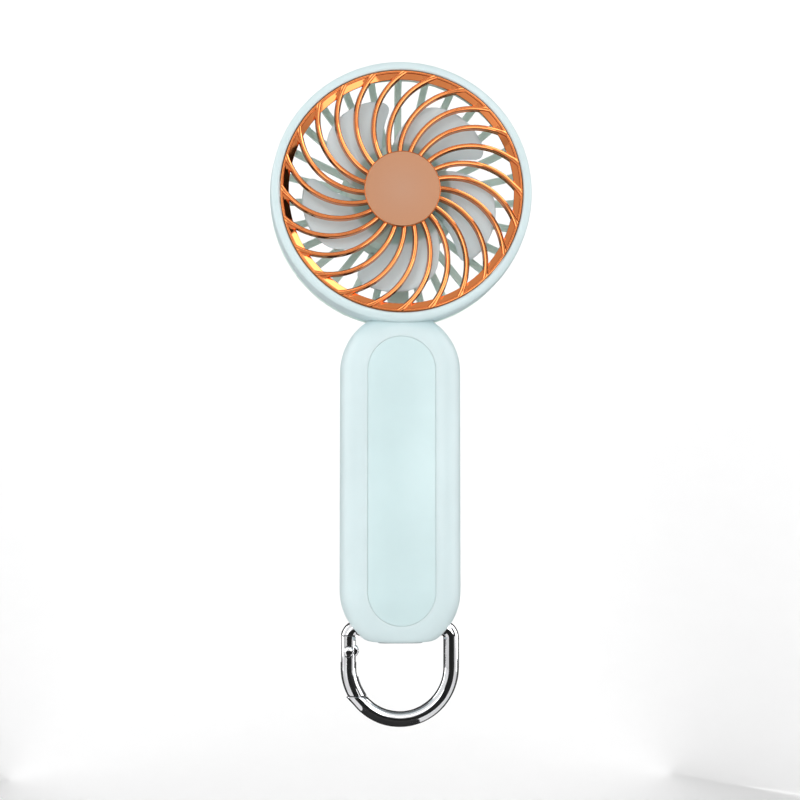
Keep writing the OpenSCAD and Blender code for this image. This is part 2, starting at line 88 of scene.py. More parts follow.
HEAD_R = (span("rear_grille", 0)[1] - span("rear_grille", 0)[0]) / 2
LIP_F = -span("front_housing", 1)[0]
BACK_F = -span("rear_grille", 1)[1]
RING_R = span("front_grille", 0)[1]
CAP_F = -span("grille_cap", 1)[0]
CAP_R = span("grille_cap", 0)[1]
HALF_T = span("rear_housing", 1)[1]
FOOT_Z = span("rear_housing", 2)[0]
PANEL_F = -span("front_panel", 1)[0]
PANEL_R = span("front_panel", 0)[1]
GRIP_END = span("front_panel", 2)[1] - PANEL_R
WIRE_R = span("carabiner_frame", 1)[1]
LEG_X = span("carabiner_frame", 0)[1] - WIRE_R
BOW_Z = span("carabiner_frame", 2)[0] + WIRE_R + LEG_X
GATE_LOW, GATE_HIGH = span("carabiner_gate", 2)

# ---- Sizes of the casing ----
GRIP_R = 19.9 * MM
GRIP_EDGE = 8.75 * MM
WALL = 1.8 * MM
BORE_R = HEAD_R - 2.2 * MM
LIP_BORE_R = RING_R + 0.15 * MM
LEDGE_F = 9.5 * MM
REAR_RING_F = -5 * MM
PARTING = 0.18 * MM
NECK_X = 11.3 * MM
NECK_F = 8.4 * MM
BARREL_F = 3 * MM
BARREL_R = 70 * MM

# ---- Sizes of the grilles and propeller ----
RING_F = 12.8 * MM
RING_BACK_F = 6.9 * MM
DOME_F = 15 * MM
RIBS = 24
RIB_ARC_R = 22.3 * MM
RIB_ARC_C = 24.35 * MM
RIB_TURN = radians(-32.2)
SPOKES = 28
HUB_RING_R = 20.1 * MM
POT_R = 17.5 * MM
POT_F = 1.4 * MM
BACK_ROUND = 8 * MM
BLADES = 5
TIP_R = 32.9 * MM
HUB_R = 10.5 * MM
BLADE_F = 5.1 * MM
BLADE_TURN = radians(45)
ROOT_R = 16.6 * MM


# ---- Mesh helpers ----

def rounded(points, steps=4):
    """A closed outline with rounded corners, from (x, y, radius) points."""
    out = []
    for i, (x, y, radius) in enumerate(points):
        here = Vector((x, y))
        before = Vector(points[i - 1][:2]) - here
        after = Vector(points[(i + 1) % len(points)][:2]) - here
        half = before.angle(after) / 2
        if radius <= 0 or half > radians(89):
            out.append(here)
            continue
        cut = min(radius / tan(half), before.length * 0.49, after.length * 0.49)
        reach = cut / cos(half)
        centre = here + (before.normalized() + after.normalized()).normalized() * reach
        start = here + before.normalized() * cut - centre
        end = here + after.normalized() * cut - centre
        arc = start.angle(end)
        for k in range(steps + 1):
            t = k / steps
            out.append(centre + (start * sin((1 - t) * arc) + end * sin(t * arc)) / sin(arc))
    return out


def skin(bm, rings, around=True, closed=False, caps=True, mat=0):
    """Faces between neighbouring rings of points, with the ends capped."""
    rows = [[bm.verts.new(p) for p in ring] for ring in rings]
    count = len(rows[0])
    following = rows[1:] + rows[:1] if closed else rows[1:]
    for a, b in zip(rows, following):
        for i in range(count if around else count - 1):
            j = (i + 1) % count
            bm.faces.new([a[i], a[j], b[j], b[i]]).material_index = mat
    if caps and not closed:
        for row in (rows[0], rows[-1]):
            bm.faces.new(row).material_index = mat


def lathe(bm, outline, centre=(0, HEAD_Z), segments=FINE):
    """Turns a closed (radius, forward) outline about an axis along Y through (x, z)."""
    x, z = centre
    skin(bm, [[Vector((x + r * cos(a), -f, z + r * sin(a))) for r, f in outline]
              for a in turn_angles(segments)], closed=True)


def spot(r, a, f):
    """The point at a radius and an angle around the fan's axis, this far forward."""
    return Vector((r * cos(a), -f, HEAD_Z + r * sin(a)))


def prism(bm, outline, low_y, high_y):
    """An (x, z) outline made solid from one Y to another."""
    skin(bm, [[Vector((x, y, z)) for x, z in outline] for y in (low_y, high_y)])


def turn_angles(steps):
    """Evenly spaced angles around a full turn."""
    return [TURN * k / steps for k in range(steps)]


def quarter_turn(steps, first=0):
    """Angles from 0 to 90 degrees in even steps, from the given step on."""
    return [radians(90) * i / steps for i in range(first, steps + 1)]


def clean(bm):
    """Merges the points that meet, drops faces with no area and turns the rest outwards."""
    bmesh.ops.remove_doubles(bm, verts=bm.verts, dist=2e-6)
    bmesh.ops.dissolve_degenerate(bm, dist=1e-6, edges=bm.edges)
    bmesh.ops.recalc_face_normals(bm, faces=bm.faces)


def add_object(name, data):
    """A new object in the scene."""
    obj = bpy.data.objects.new(name, data)
    bpy.context.scene.collection.objects.link(obj)
    return obj


def add_mesh(name, bm):
    """A new object with the geometry built in bm."""
    mesh = bpy.data.meshes.new(name)
    bm.to_mesh(mesh)
    bm.free()
    return add_object(name, mesh)


def solid(name, build, *args):
    """A loose helper object from a builder that fills a bmesh."""
    bm = bmesh.new()
    build(bm, *args)
    clean(bm)
    return add_mesh(name, bm)


def combine(obj, others, operation):
    """Applies exact booleans with the helper objects, which are then removed."""
    for other in others:
        modifier = obj.modifiers.new(operation, "BOOLEAN")
        modifier.operation = operation
        modifier.solver = "EXACT"
        modifier.object = other
    bpy.context.view_layer.update()
    graph = bpy.context.evaluated_depsgraph_get()
    mesh = bpy.data.meshes.new_from_object(obj.evaluated_get(graph))
    obj.modifiers.clear()
    old = obj.data
    obj.data = mesh
    bpy.data.meshes.remove(old)
    for other in others:
        data = other.data
        bpy.data.objects.remove(other)
        bpy.data.meshes.remove(data)


def dress(obj, materials):
    """Puts the materials in the mesh's slots and leaves the faces' choice of slot alone."""
    slots = obj.data.materials
    while len(slots) < len(materials):
        slots.append(None)
    for i, material in enumerate(materials):
        slots[i] = material


def place(obj, name, body, materials, stands_for, sharp=38):
    """Names, shades and registers a finished piece."""
    obj.name = name
    obj.data.name = name
    dress(obj, materials)
    obj.data.shade_smooth()
    obj.data.set_sharp_from_angle(angle=radians(sharp))
    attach(obj, body)
    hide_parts(*stands_for)


def piece(name, body, materials, build, stands_for, sharp=38):
    """Builds and registers a piece that needs no cutting or joining."""
    place(solid(name, build), name, body, materials, stands_for, sharp)


# ---- Materials ----

def blank(name):
    """A new material with its shader, and a point in object space for the textures."""
    material = bpy.data.materials.new(name)
    material.use_nodes = True
    nodes = material.node_tree.nodes
    return material, nodes["Principled BSDF"], nodes.new("ShaderNodeTexCoord").outputs["Object"]


def added(socket, kind, values=None):
    """A new node in a socket's tree, with its inputs set by name."""
    node = socket.id_data.nodes.new(kind)
    tune(node, values or {})
    return node


def tune(node, values):
    """Sets a node's inputs by name."""
    for name, value in values.items():
        node.inputs[name].default_value = value


def link(output, target):
    """Feeds a node's output into another node's input."""
    output.id_data.links.new(output, target)


def noise(point, scale, detail, rough=0.5):
    """Cloudy values between 0 and 1."""
    tex = added(point, "ShaderNodeTexNoise", {"Scale": scale, "Detail": detail, "Roughness": rough})
    link(point, tex.inputs["Vector"])
    return tex.outputs["Fac"]


def ramp(fac, low, high, start=0.35, end=0.65):
    """Turns a 0 to 1 value into a colour or a grey between low and high."""
    node = added(fac, "ShaderNodeValToRGB")
    for stop, at, value in zip(node.color_ramp.elements, (start, end), (low, high)):
        stop.position = at
        stop.color = (*value, 1) if isinstance(value, tuple) else (value, value, value, 1)
    link(fac, node.inputs["Fac"])
    return node.outputs["Color"]


def finish(shader, colour, gloss, relief, strength, distance):
    """Colour, roughness and fine relief from textures."""
    bump = added(relief, "ShaderNodeBump", {"Strength": strength, "Distance": distance})
    link(relief, bump.inputs["Height"])
    link(bump.outputs["Normal"], shader.inputs["Normal"])
    link(colour, shader.inputs["Base Color"])
    link(gloss, shader.inputs["Roughness"])


def shade(colour, k):
    """The colour made lighter or darker by a factor."""
    return tuple(min(1, max(0, c * k)) for c in colour)


def plastic(name, colour, rough=0.42, grain=1800, depth=0.012, vary=0.03, coat=0.0, alpha=1.0, soft=0.0):
    """Moulded plastic: fine spark-eroded grain, slight cloudiness and uneven gloss."""
    material, shader, point = blank(name)
    cloud = ramp(noise(point, 45, 3), shade(colour, 1 - vary), shade(colour, 1 + vary * 0.6))
    wear = ramp(noise(point, 160, 3), rough - 0.05, rough + 0.05)
    finish(shader, cloud, wear, noise(point, grain, 2, 0.6), 0.25, depth * MM)
    tune(shader, {"Coat Weight": coat, "Coat Roughness": 0.2, "Alpha": alpha, "Subsurface Weight": soft,
                  "Subsurface Radius": (0.9, 1.0, 1.0), "Subsurface Scale": 1.2 * MM})
    return material


def metal(name, colour, rough=0.2, grain=900, vary=0.04, depth=0.004, uneven=0.04):
    """Plated or turned metal: slightly uneven polish, faint colour drift and fine waviness."""
    material, shader, point = blank(name)
    cloud = ramp(noise(point, 70, 3), shade(colour, 1 - vary), shade(colour, 1 + vary))
    polish = ramp(noise(point, 240, 4), max(0.02, rough - uneven), rough + uneven)
    finish(shader, cloud, polish, noise(point, grain, 2), 0.2, depth * MM)
    tune(shader, {"Metallic": 1})
    return material


def from_axis(point, scale=(1, 1, 1)):
    """The point moved so that the fan's axis runs through the zero point."""
    moved = added(point, "ShaderNodeMapping", {"Location": (0, 0, -HEAD_Z), "Scale": scale})
    link(point, moved.inputs["Vector"])
    return moved.outputs["Vector"]


def painted_light_by_radius(shader, point, inner, outer, tints):
    """Paints light and shade into the base colour: multiplies it by a tint that changes with the distance
    from the fan's axis.
    """
    radius = added(point, "ShaderNodeVectorMath")
    radius.operation = "LENGTH"
    link(from_axis(point, (1, 0, 1)), radius.inputs[0])
    step = added(point, "ShaderNodeMapRange", {"From Min": inner, "From Max": outer})
    step.interpolation_type = "SMOOTHSTEP"
    link(radius.outputs["Value"], step.inputs["Value"])
    tinted = added(point, "ShaderNodeVectorMath")
    tinted.operation = "MULTIPLY"
    link(shader.inputs["Base Color"].links[0].from_socket, tinted.inputs[0])
    link(ramp(step.outputs["Result"], *tints, start=0, end=1), tinted.inputs[1])
    link(tinted.outputs["Vector"], shader.inputs["Base Color"])


def satin_disc(name, colour):
    """Metallised disc with a satin, finely turned face and a painted reflection: neutral at the centre,
    more orange towards the edge.
    """
    material, shader, point = blank(name)
    turned = added(point, "ShaderNodeTexWave", {"Scale": 900, "Distortion": 0.6})
    turned.wave_type = "RINGS"
    turned.rings_direction = "Y"
    link(from_axis(point), turned.inputs["Vector"])
    cloud = ramp(noise(point, 30, 2), shade(colour, 0.985), shade(colour, 1.015))
    polish = ramp(noise(point, 300, 4), 0.42, 0.46)
    finish(shader, cloud, polish, turned.outputs["Fac"], 0.08, 0.002 * MM)
    # Painted reflection: the face's middle paler, as if it mirrored the bright studio, its edge more
    # orange.
    reflected_centre_tint, reflected_edge_tint = (1.0, 1.0, 1.02), (1.0, 0.89, 0.79)
    painted_light_by_radius(shader, point, -4 * MM, 16 * MM, (reflected_centre_tint, reflected_edge_tint))
    tune(shader, {"Metallic": 1})
    return material


def smoked(name, colour, root_shade_tint):
    """Propeller plastic with painted shade over its hub and blade roots: darker and greener there, like the
    shaded motor pot behind the blades.
    """
    material = plastic(name, colour, rough=0.4, grain=1200, vary=0.004, alpha=0.88)
    nodes = material.node_tree.nodes
    point = nodes.new("ShaderNodeTexCoord").outputs["Object"]
    fade, untinted = 0.8 * MM, (1, 1, 1)
    tints = (root_shade_tint, untinted)
    # Painted shade: the roots take the colour of the shaded motor pot behind them.
    painted_light_by_radius(nodes["Principled BSDF"], point, ROOT_R - fade, ROOT_R + fade, tints)
    return material


MINT = (0.70, 0.828, 0.845)
M = {
    "shell": plastic("mint_shell", MINT, rough=0.44, soft=0.3),
    "grille_shell": plastic("mint_grille", (0.76, 0.90, 0.83), rough=0.42, soft=0.12),
    "panel": plastic("mint_panel", (0.665, 0.832, 0.845), rough=0.36, grain=2600, depth=0.006, soft=0.3),
    "foot": plastic("grey_foot", (0.34, 0.36, 0.38), rough=0.5),
    "gold": metal("rose_gold", (0.70, 0.225, 0.073), rough=0.05, uneven=0.02, grain=500),
    "cap": satin_disc("satin_copper", (0.465, 0.263, 0.169)),
    # The propeller's root tint is painted shade of the motor pot behind the blades.
    "blade": smoked("smoke_propeller", (0.79, 0.955, 1.0), root_shade_tint=(0.58, 0.70, 0.64)),
    "chrome": metal("chrome", (0.86, 0.86, 0.88), rough=0.05, grain=420, uneven=0.02),
    "steel": metal("zinc_steel", (0.60, 0.61, 0.63), rough=0.28),
    "shaft": metal("ground_steel", (0.66, 0.66, 0.68), rough=0.16),
    "copper": metal("copper", (0.80, 0.42, 0.24), rough=0.25),
    "winding": metal("enamelled_winding", (0.55, 0.20, 0.08), rough=0.32, grain=2400, depth=0.05),
    "bronze": metal("sintered_bronze", (0.52, 0.36, 0.17), rough=0.45, grain=2600, depth=0.02),
    "magnet": plastic("ferrite", (0.045, 0.045, 0.05), rough=0.55, vary=0.15),
    "black": plastic("black_moulding", (0.025, 0.025, 0.028), rough=0.4, vary=0.15),
    "white": plastic("white_moulding", (0.72, 0.72, 0.70), rough=0.35),
    "button": plastic("button_gloss", (0.82, 0.91, 0.90), rough=0.22, coat=0.4),
    "foil": metal("pouch_foil", (0.66, 0.67, 0.70), rough=0.33, grain=700, depth=0.05),
    "foam": plastic("foam", (0.03, 0.03, 0.032), rough=0.9, grain=2600, depth=0.08, vary=0.3),
    "board": plastic("solder_mask", (0.012, 0.11, 0.05), rough=0.3, coat=0.3),
    "chip": plastic("chip_epoxy", (0.02, 0.02, 0.022), rough=0.5, vary=0.2),
    "led": plastic("led_lens", (0.80, 0.80, 0.62), rough=0.15),
    "guide": plastic("clear_guide", (0.78, 0.86, 0.88), rough=0.12, alpha=0.7),
    "red_wire": plastic("red_insulation", (0.45, 0.012, 0.01), rough=0.4),
    "flag": plastic("flag_cloth", (0.012, 0.012, 0.012), rough=0.9, vary=0.2),
    "black_wire": plastic("black_insulation", (0.02, 0.02, 0.02), rough=0.4, vary=0.2),
}

# ---- Casing ----

ARC_STEPS = 40
SIDE_STEPS = 4


def smooth_max(a, b, width):
    """The larger of two values, eased where they are nearly equal."""
    t = max(width - abs(a - b), 0) / width
    return max(a, b) + t * t * width / 4


def grip_point(rho, forward, depth, centre_z, angle):
    """A point of the grip at a distance from its middle line, pressed flat at the foot and neck."""
    foot_blend, into_head = 1.3 * MM, 1.1 * MM
    x = rho * cos(angle)
    z = smooth_max(centre_z + rho * sin(angle), FOOT_Z + depth, foot_blend)
    top = HEAD_Z - sqrt((HEAD_R - into_head + depth * 1.8) ** 2 - x * x)
    return Vector((x, -forward, min(z, top)))


def grip_solid(bm, outline):
    """Sweeps a (distance from the middle line, forward, depth under the skin) outline around the grip."""
    rings = []
    for centre_z, start in ((GRIP_END, 0), (-GRIP_END, pi)):
        for i in range(ARC_STEPS + 1):
            angle = start + pi * i / ARC_STEPS
            rings.append([grip_point(*p, centre_z, angle) for p in outline])
        for k in range(1, SIDE_STEPS):
            level = centre_z * (1 - 2 * k / SIDE_STEPS)
            rings.append([grip_point(*p, level, start + pi) for p in outline])
    skin(bm, rings, around=False, closed=True)


def edge_arc(radius, centre_rho, centre_f, side):
    """The rounded edge of the grip's outline, from the middle plane to the flat face."""
    return [(centre_rho + radius * cos(t), side * (centre_f + radius * sin(t)))
            for t in quarter_turn(12)]


def grip_outline(side, recess):
    """Half of the grip's shell: outer skin, optional panel recess and inner skin."""
    flat_r, straight = GRIP_R - GRIP_EDGE, HALF_T - GRIP_EDGE
    outer = [(GRIP_R - PARTING, 0), (GRIP_R, side * PARTING)]
    outer += edge_arc(GRIP_EDGE, flat_r, straight, side)
    inner = edge_arc(GRIP_EDGE - WALL, flat_r, straight, side)[::-1]
    inner += [(GRIP_R - WALL, 0)]
    if recess:
        edge_r, groove, bed_f = PANEL_R + 0.03 * MM, 0.2 * MM, HALF_T - 1.1 * MM
        outer = [p for p in outer if p[0] > edge_r + 0.25 * MM]
        outer += [(edge_r + groove, HALF_T), (edge_r + 0.05 * MM, HALF_T - 0.06 * MM),
                  (edge_r, HALF_T - groove), (edge_r, bed_f), (0, bed_f)]
    else:
        outer.append((0, side * HALF_T))
    inner = [(0, side * (HALF_T - WALL))] + inner
    return [(r, f, WALL) for r, f in inner] + [(r, f, 0) for r, f in outer]


def barrel(forward):
    """Outer radius of the head at a forward distance."""
    return HEAD_R - (forward - BARREL_F) ** 2 / (2 * BARREL_R)


def neck_block(bm, side):
    """The collar between the grip and the head: half an ellipse that swells softly under the head."""
    hollow = (3 if side > 0 else 0.7) * MM
    steps, round_steps = 10, 40
    levels = [6 * MM, 4.5 * MM] + [hollow * (1 - k / steps) for k in range(steps + 1)] + [-0.9 * MM]
    rings = []
    for under in levels:
        near = min(max(under, 0), hollow)
        f = NECK_F + hollow - sqrt(hollow ** 2 - (hollow - near) ** 2)
        ring = []
        for k in range(round_steps + 1):
            a = pi * k / round_steps
            x, y = NECK_X * cos(a), f * sin(a)
            z = HEAD_Z - sqrt((barrel(side * y) + under) ** 2 - x ** 2)
            ring.append(Vector((x, -side * y, z)))
        rings.append(ring)
    skin(bm, rings)


def front_ring_outline():
    """Section of the head's front half: bore, ledge for the grille, rounded lip and bowed wall."""
    lip_r = 2.6 * MM
    crest_r = HEAD_R - lip_r
    drop = HEAD_R - barrel(LIP_F - lip_r)
    inner = crest_r - LIP_BORE_R
    points = [(BORE_R, 0), (BORE_R, LEDGE_F), (LIP_BORE_R, LEDGE_F), (LIP_BORE_R, LIP_F - 0.95 * MM)]
    points += [(crest_r - inner * cos(t), LIP_F - inner + inner * sin(t))
               for t in quarter_turn(6, 1)]
    steps = 12
    for i in range(1, steps + 1):
        t = radians(90) * (1 - i / steps)
        points.append((crest_r - drop * (i / steps) ** 2 + lip_r * cos(t),
                       LIP_F - lip_r + lip_r * sin(t)))
    steps = 8
    for i in range(1, steps + 1):
        f = (LIP_F - lip_r) * (1 - i / steps) + PARTING * i / steps
        points.append((barrel(f), f))
    points.append((barrel(0) - PARTING, 0))
    return points


def rear_ring_outline():
    """Section of the head's rear half, up to the seam with the rear grille."""
    middle_f = REAR_RING_F / 2
    return [(BORE_R, 0), (BORE_R, REAR_RING_F), (HEAD_R - PARTING - 0.4 * MM, REAR_RING_F),
            (barrel(REAR_RING_F), REAR_RING_F + PARTING), (barrel(middle_f), middle_f),
            (barrel(0), -PARTING), (barrel(0) - PARTING, 0)]


def bar_turning(bm, outline):
    """Turns an (x, radius) outline about the carabiner's bar."""
    skin(bm, [[Vector((x, r * cos(a), BAR_Z + r * sin(a))) for x, r in outline]
              for a in turn_angles(64)], closed=True)


def tunnel_cutter(bm):
    """The hole for the carabiner's bar, wider at both mouths."""
    tunnel = WIRE_R + 0.37 * MM
    mouth, mouth_x, far = 4.4 * MM, 13.3 * MM, 30 * MM
    half = [(mouth_x - 0.8 * MM, tunnel), (mouth_x, mouth), (far, mouth), (far, 0)]
    bar_turning(bm, [(-x, r) for x, r in half[::-1]] + half)


FOOT_X = span("foot_insert", 0)[1]
FOOT_Y = span("foot_insert", 1)
FOOT_LOW = span("foot_insert", 2)[0]
USB_Y = middle("usb_port_shell", 1)
USB_W = span("usb_port_shell", 0)[1] * 2
USB_H = span("usb_port_shell", 1)[1] - span("usb_port_shell", 1)[0]


def foot_pad(bm, low, high, grow, edge):
    """Rounded pad across the foot, with a softened lower edge."""
    levels = [(low, 0), (high, 0)]
    if edge:
        levels = [(low, edge), (low + edge * 0.3, edge * 0.3), (low + edge, 0), (high, 0)]
    rings = []
    for z, shrink in levels:
        x, r = FOOT_X + grow - shrink, 2 * MM
        front, back = FOOT_Y[0] - grow + shrink, FOOT_Y[1] + grow - shrink
        corners = rounded([(-x, front, r), (x, front, r), (x, back, r), (-x, back, r)], 6)
        rings.append([Vector((p.x, p.y, z)) for p in corners])
    skin(bm, rings)


def slot_cutter(bm, play, high):
    """Upright slot with round ends, for the charging socket, from below the foot to a level."""
    width, r = USB_W + play, (USB_H + play) / 2
    low = FOOT_Z - 7.1 * MM
    outline = rounded([(-width / 2, -r, r), (width / 2, -r, r), (width / 2, r, r), (-width / 2, r, r)], 10)
    skin(bm, [[Vector((p.x, USB_Y + p.y, z)) for p in outline] for z in (low, high)])


def casing_cutters():
    """The bar's tunnel and the recess for the foot pad, cut from both halves."""
    return [solid("cut_tunnel", tunnel_cutter),
            solid("cut_foot", foot_pad, FOOT_Z - 2 * MM, FOOT_Z + 0.7 * MM, 0.12 * MM, 0)]


def join_head(shell, side, ring_outline):
    """Joins the neck and the head's ring to one half of the grip."""
    ring = solid("ring", lathe, ring_outline, (0, HEAD_Z), SMOOTH)
    combine(shell, [solid("neck", neck_block, side), ring], "UNION")


def front_casing():
    """The front half, with the shallow bed of the inlaid panel."""
    shell = solid("front_shell", grip_solid, grip_outline(1, True))
    join_head(shell, 1, front_ring_outline())
    combine(shell, casing_cutters(), "DIFFERENCE")
    place(shell, "front_casing", "case", [M["shell"]], ["front_housing"])


POSTS = [(x * MM, z * MM) for x in (-12.5, 12.5) for z in (24, -38.8)]
BUTTON_Z = middle("power_button", 2)
LED_Z = middle("indicator_leds", 2)
LED_XS = [(i - 1.5) * 2.4 * MM for i in range(4)]
BUTTON_R = 5 * MM


def rear_casing():
    """The back half, with the openings for the button, the screws, the lights and the charging socket."""
    shell = solid("rear_shell", grip_solid, grip_outline(-1, False))
    out, skin_f, inside = -HALF_T - 2 * MM, -HALF_T - 0.01 * MM, -HALF_T + WALL + 0.5 * MM
    bezel_r, screw_r, led_r = BUTTON_R + 0.1 * MM, 2.05 * MM, 0.85 * MM
    bezel = [(0, out), (bezel_r + 0.6 * MM, out), (bezel_r + 0.6 * MM, skin_f),
             (bezel_r, -HALF_T + 0.45 * MM), (bezel_r, 0), (0, 0)]
    recess = [(0, out), (screw_r + 0.35 * MM, out), (screw_r + 0.35 * MM, skin_f),
              (screw_r, -HALF_T + 0.35 * MM), (screw_r, inside), (0, inside)]
    light = [(0, out), (led_r, out), (led_r, 0), (0, 0)]
    # The screw holes are cut before the joins, where the exact solver cuts all four cleanly.
    combine(shell, [solid("cut_screw", lathe, recess, post, 64) for post in POSTS], "DIFFERENCE")
    join_head(shell, -1, rear_ring_outline())
    cutters = casing_cutters()
    cutters.append(solid("cut_usb", slot_cutter, 0.3 * MM, FOOT_Z + 3 * MM))
    cutters.append(solid("cut_button", lathe, bezel, (0, BUTTON_Z), 64))
    cutters += [solid("cut_led", lathe, light, (x, LED_Z), 64) for x in LED_XS]
    combine(shell, cutters, "DIFFERENCE")
    place(shell, "rear_casing", "case", [M["shell"]], ["rear_housing"])


def panel_solid(bm):
    """The inlaid panel: a plate with a softened edge and a very slight crown."""
    edge = 0.25 * MM
    outline = [(0, HALF_T - 1 * MM), (PANEL_R, HALF_T - 1 * MM), (PANEL_R, PANEL_F - edge),
               (PANEL_R - 0.07 * MM, PANEL_F - 0.07 * MM), (PANEL_R - edge, PANEL_F), (0, PANEL_F)]
    grip_solid(bm, [(r, f, 0) for r, f in outline])


def foot_insert_piece():
    """The grey pad under the foot, with the opening of the charging socket."""
    pad = solid("foot_pad", foot_pad, FOOT_LOW, FOOT_Z + 0.65 * MM, 0, 0.3 * MM)
    combine(pad, [solid("cut_usb", slot_cutter, 0.2 * MM, FOOT_Z + 2.9 * MM)], "DIFFERENCE")
    place(pad, "foot_pad", "case", [M["foot"]], ["foot_insert"])


# ---- Front grille ----

BAND_R = 37.1 * MM
RIM_R = RING_R - 0.9 * MM
RIB_HALF = 0.66 * MM
RIB_DEEP = 2.6 * MM
RIB_IN = CAP_R - 1 * MM
RIB_OUT = RING_R - 0.4 * MM
# Half width and drop of each crease on a rib's crown, in mm, from the edge inwards
RIB_FACETS = [(0.56, 0.25), (0.45, 0.13), (0.43, 0.122), (0.15, 0.042), (0.13, 0.036)]


def dome(r):
    """Forward distance of the grille's domed front at radius r."""
    return DOME_F - (DOME_F - RING_F - 0.05 * MM) * (r / RING_R) ** 2


def ring_solid(bm):
    """The gilded ring: a narrow flat rim and a conical band inside it."""
    inner = RING_R - 1.5 * MM
    outline = rounded([(inner, RING_BACK_F, 0), (RING_R, RING_BACK_F, 0.3 * MM), (RING_R, RING_F, 0.5 * MM),
                       (RIM_R, RING_F, 0.45 * MM), (RIM_R - 0.1 * MM, RING_F - 0.45 * MM, 0.05 * MM),
                       (BAND_R, RING_F - 1.15 * MM, 0.15 * MM), (BAND_R, RING_F - 2 * MM, 0.2 * MM),
                       (inner, RING_F - 2.6 * MM, 0.3 * MM)], 6)
    lathe(bm, outline, segments=SMOOTH)


def rib_angle(r):
    """Angle of a rib's middle line at radius r, from the direction of its arc's centre."""
    return acos((r * r + RIB_ARC_C ** 2 - RIB_ARC_R ** 2) / (2 * r * RIB_ARC_C))


def along_rib(r):
    """Angle around the rib's own arc at which its middle line reaches radius r."""
    a = rib_angle(r)
    return pi - atan2(r * sin(a), RIB_ARC_C - r * cos(a))


def rib_section(front, back):
    """A rib's (across, forward) section: splayed flanks under a crown with narrow facets."""
    shoulder = front - 0.55 * MM
    left = [(-RIB_HALF * 1.45, back + 0.15 * MM), (-RIB_HALF, shoulder - 0.8 * MM), (-RIB_HALF, shoulder)]
    left += [(-across * MM, front - drop * MM) for across, drop in RIB_FACETS]
    return left + [(0, front - 0.03 * MM)] + [(-across, f) for across, f in left[::-1]] + [(0, back)]


def rib_solid(bm, turn):
    """One rib: an arc with a crowned front, flaring where it meets the ring."""
    start, end = along_rib(RIB_IN), along_rib(RIB_OUT)
    steps, flare_from = 30, 0.86
    rings = []
    for i in range(steps + 1):
        t = i / steps
        a = start + (end - start) * t
        mid = Vector((RIB_ARC_C + RIB_ARC_R * cos(a), RIB_ARC_R * sin(a)))
        out = Vector((cos(a), sin(a)))
        front = dome(mid.length)
        back = max(front - RIB_DEEP, RING_F - 3.0 * MM)
        flare = max(0, (t - flare_from) / (1 - flare_from)) ** 1.6 * 0.9 * MM
        ring = []
        for across, forward in rib_section(front, back):
            p = mid + out * (across + flare if across > 0 else across)
            p = p * min(1, (RING_R - 0.25 * MM) / p.length)
            ring.append(Vector((p.x * cos(turn) - p.y * sin(turn), -forward,
                                HEAD_Z + p.x * sin(turn) + p.y * cos(turn))))
        rings.append(ring)
    skin(bm, rings)


def polar(r, a):
    """The point at radius r and angle a from the head's centre."""
    return Vector((r * cos(a), r * sin(a)))


def web_solid(bm, turn):
    """The small triangular web in the sharp corner between a rib's end and the ring."""
    r_in, back_f = 35.3 * MM, RING_F - 2.4 * MM
    tip = rib_angle(RIB_OUT) + turn
    far = tip + radians(7.5)
    corners = [(polar(RIB_OUT, tip), RING_F - 0.2 * MM),
               (polar(r_in, rib_angle(r_in) + turn), dome(r_in) - 0.9 * MM),
               (polar(RIB_OUT - 1.5 * MM, far - radians(1.2)), RING_F - 0.7 * MM),
               (polar(RIB_OUT, far), RING_F - 0.4 * MM)]
    back = [Vector((p.x, -back_f, HEAD_Z + p.y)) for p, _ in corners]
    front = [Vector((p.x, -f, HEAD_Z + p.y)) for p, f in corners]
    skin(bm, [back, front])


def front_grille_solid(bm):
    """The ring, the ribs with their webs, and the hub plate under the cap."""
    ring_solid(bm)
    for i in range(RIBS):
        turn = RIB_TURN + TURN * i / RIBS
        rib_solid(bm, turn)
        web_solid(bm, turn)
    bore_r, hub_r, back_f, front_f = 3.1 * MM, CAP_R - 0.3 * MM, DOME_F - RIB_DEEP, DOME_F - 0.02 * MM
    hub = [(bore_r, back_f, 0), (hub_r, back_f, 0.4 * MM), (hub_r, front_f, 0.1 * MM), (bore_r, front_f, 0)]
    lathe(bm, rounded(hub), segments=96)


def cap_solid(bm):
    """Centre cap: a satin face inside a narrow polished rim and wall, and a peg behind it."""
    rim, peg_r = 0.3 * MM, 3 * MM
    face_r, face_f = CAP_R - rim, CAP_F - 0.07 * MM
    wall = [(peg_r, DOME_F), (CAP_R - 0.1 * MM, DOME_F), (CAP_R, DOME_F + 0.1 * MM), (CAP_R, CAP_F - rim),
            (CAP_R - 0.06 * MM, CAP_F - 0.2 * MM), (CAP_R - 0.2 * MM, CAP_F - 0.06 * MM),
            (face_r, CAP_F - 0.01 * MM)]
    face = [(face_r, CAP_F - 0.01 * MM), (face_r - 0.08 * MM, face_f)]
    face += [(face_r * (1 - k / 8), face_f) for k in range(1, 9)]
    peg = [(0, DOME_F - 2.8 * MM), (peg_r - 0.2 * MM, DOME_F - 2.8 * MM), (peg_r, DOME_F - 2.6 * MM),
           (peg_r, DOME_F)]
    for outline, mat in ((wall, 1), (face, 0), (peg, 1)):
        rings = [[spot(r, a, f) for r, f in outline] for a in turn_angles(FINE)]
        skin(bm, rings, around=False, closed=True, mat=mat)


# ---- Propeller ----

